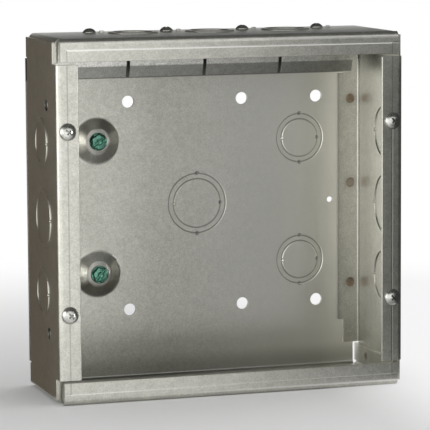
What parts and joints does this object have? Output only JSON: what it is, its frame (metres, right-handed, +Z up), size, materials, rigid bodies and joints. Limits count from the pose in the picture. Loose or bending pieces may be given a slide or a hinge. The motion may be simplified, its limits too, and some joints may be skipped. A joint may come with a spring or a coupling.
{
  "type": "switch box",
  "caption": "Square open-fronted galvanised steel switch box with folded flanges, concentric knockouts, cable clamps inside and green ground screws on raised bosses.",
  "frame": {"origin": "centre of the underside, at mid-width and mid-depth of the folded box", "axes": "+X to the right seen from the open front, +Y to the back, +Z up"},
  "size_m": [0.2046, 0.0739, 0.2058],
  "materials": {
    "galvanised_sheet": "galvanised, satin with fine mottling",
    "clamp_sheet": "galvanised, satin",
    "zinc_screw": "bright zinc",
    "green_screw": "green dyed plating, glossy"
  },
  "bodies": {
    "root": {"box_body": "galvanised_sheet", "left_side_panel": "galvanised_sheet", "right_side_panel": "galvanised_sheet", "cable_clamp_1": "clamp_sheet", "cable_clamp_2": "clamp_sheet", "cable_clamp_3": "clamp_sheet", "cable_clamp_4": "clamp_sheet", "clamp_screws": "zinc_screw", "cover_screws": "zinc_screw", "ground_screws": "green_screw"}
  },
  "joints": []
}
